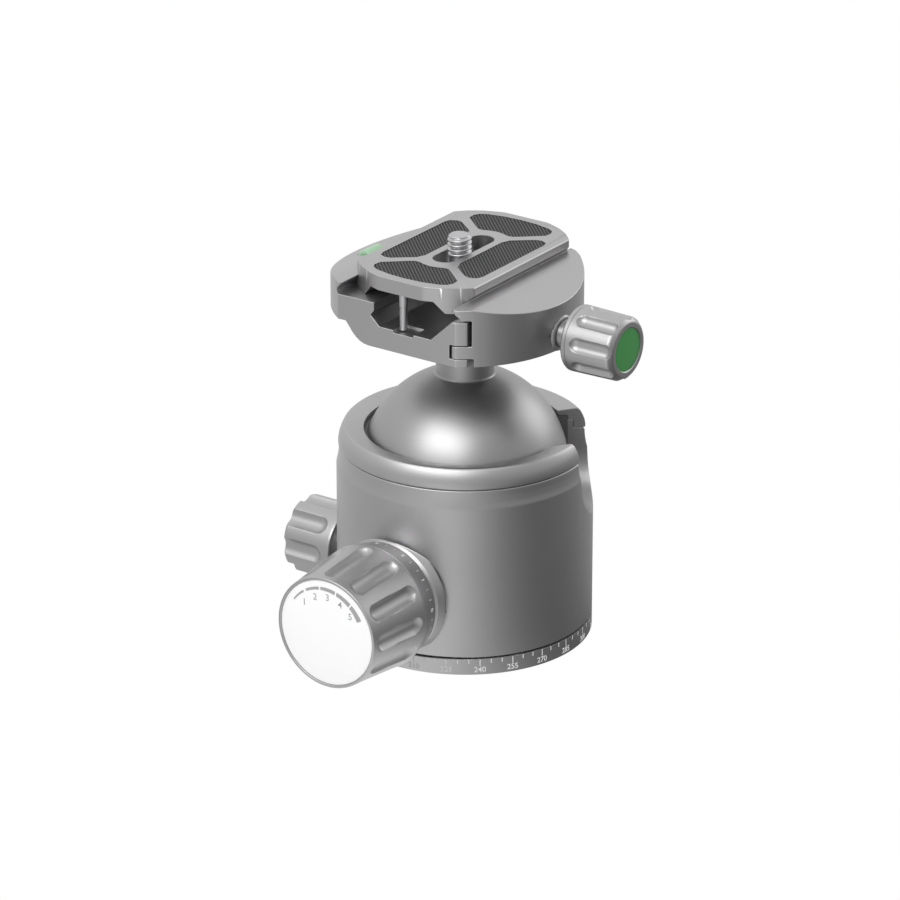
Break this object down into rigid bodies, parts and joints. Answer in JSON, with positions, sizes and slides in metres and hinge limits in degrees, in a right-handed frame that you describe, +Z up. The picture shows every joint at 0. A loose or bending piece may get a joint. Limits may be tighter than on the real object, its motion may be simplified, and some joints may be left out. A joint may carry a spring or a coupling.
{
  "type": "tripod ball head",
  "caption": "Ball head for a tripod: panning barrel with a drop slot, lockable ball and neck, screw clamp with a spirit level, and a padded dovetail camera plate.",
  "frame": {"origin": "centre of the underside of the foot, at the mouth of the tripod thread", "axes": "+Z up along the pan axis, -Y toward the main knob, -X toward the pan knob, +X toward the clamp knob"},
  "size_m": [0.1022, 0.0954, 0.1082],
  "materials": {
    "satin_metal": "bead-blasted and anodised titanium grey",
    "ball_metal": "fine satin, anodised light grey",
    "bright_steel": "turned stainless steel",
    "dark_steel": "blackened steel",
    "brass": "turned brass",
    "dark_plastic": "moulded bearing plastic",
    "pale_plastic": "moulded bearing plastic",
    "white_disc": "glossy white",
    "green_disc": "satin green",
    "level_green": "clear tinted acrylic",
    "bubble": "clear",
    "pad_rubber": "ribbed"
  },
  "bodies": {
    "base": {"base_plate": "satin_metal", "thread_bush": "bright_steel", "base_screws": "dark_steel", "pan_spindle": "satin_metal", "lower_washer": "pale_plastic", "upper_washer": "pale_plastic", "retaining_disc": "satin_metal"},
    "barrel": {"housing": "satin_metal", "rim_ring": "satin_metal", "collar_race": "dark_plastic", "ball_cup": "dark_plastic", "cup_carrier": "satin_metal", "cup_spring": "dark_steel", "shaft_bush": "brass"},
    "plunger": {"lock_plunger": "bright_steel"},
    "main_grip": {"main_shaft": "bright_steel", "main_knob": "satin_metal", "main_knob_cap": "white_disc"},
    "drag": {"drag_ring": "satin_metal"},
    "brake": {"pan_brake": "pale_plastic"},
    "pan_grip": {"pan_screw": "bright_steel", "pan_knob": "satin_metal"},
    "ball_and_neck": {"ball": "ball_metal", "stem_bolt": "dark_steel"},
    "clamp": {"clamp_body": "satin_metal", "level_vial": "level_green", "level_bubble": "bubble", "guide_pins": "bright_steel", "jaw_springs": "dark_steel"},
    "jaw": {"moving_jaw": "satin_metal"},
    "clamp_grip": {"clamp_screw": "bright_steel", "clamp_knob": "satin_metal", "clamp_knob_cap": "green_disc"},
    "plate": {"camera_plate": "satin_metal", "pad_left": "pad_rubber", "pad_right": "pad_rubber", "pad_front": "pad_rubber", "pad_rear": "pad_rubber", "stop_pins": "bright_steel"},
    "clip": {"screw_clip": "bright_steel"},
    "camera_thread": {"camera_screw": "bright_steel"}
  },
  "joints": [
    {"name": "pan", "type": "hinge", "parent": "base", "child": "barrel", "pos_m": [0, 0, 0.01], "axis": [0, 0, 1], "continuous": true},
    {"name": "lock_travel", "type": "slide", "parent": "barrel", "child": "plunger", "axis": [0, -1, 0], "range_m": [0, 0.00093]},
    {"name": "main_turn", "type": "hinge", "parent": "plunger", "child": "main_grip", "pos_m": [0, -0.05, 0.02], "axis": [0, -1, 0], "range_deg": [0, 270]},
    {"name": "drag_turn", "type": "hinge", "parent": "barrel", "child": "drag", "pos_m": [0, -0.038, 0.02], "axis": [0, -1, 0], "range_deg": [-120, 0]},
    {"name": "brake_travel", "type": "slide", "parent": "barrel", "child": "brake", "axis": [-1, 0, 0], "range_m": [0, 0.000395]},
    {"name": "pan_lock_turn", "type": "hinge", "parent": "brake", "child": "pan_grip", "pos_m": [-0.045, 0, 0.013], "axis": [-1, 0, 0], "range_deg": [0, 180]},
    {"name": "tilt", "type": "hinge", "parent": "barrel", "child": "ball_and_neck", "pos_m": [0, 0, 0.0451], "axis": [-0.5, 0.866, 0], "range_deg": [-45, 90]},
    {"name": "swivel", "type": "hinge", "parent": "ball_and_neck", "child": "clamp", "pos_m": [0, 0, 0.086], "axis": [0, 0, 1], "continuous": true},
    {"name": "jaw_travel", "type": "slide", "parent": "clamp", "child": "jaw", "axis": [1, 0, 0], "range_m": [0, 0.00199]},
    {"name": "clamp_turn", "type": "hinge", "parent": "jaw", "child": "clamp_grip", "pos_m": [0.04, 0, 0.0885], "axis": [1, 0, 0], "range_deg": [0, 720]},
    {"name": "plate_travel", "type": "slide", "parent": "clamp", "child": "plate", "axis": [0, 1, 0], "range_m": [-0.0052, 0.001]},
    {"name": "screw_travel", "type": "slide", "parent": "plate", "child": "clip", "axis": [0, 1, 0], "range_m": [-0.0062, 0.0098]},
    {"name": "screw_turn", "type": "hinge", "parent": "clip", "child": "camera_thread", "pos_m": [-0.0024, 0.0009, 0.1], "axis": [0, 0, 1], "continuous": true}
  ],
  "couplings": [
    {"joint": "main_turn", "follows": "lock_travel", "rad_per_m": 5026.5},
    {"joint": "pan_lock_turn", "follows": "brake_travel", "rad_per_m": 7854},
    {"joint": "clamp_turn", "follows": "jaw_travel", "rad_per_m": 6283.2}
  ]
}
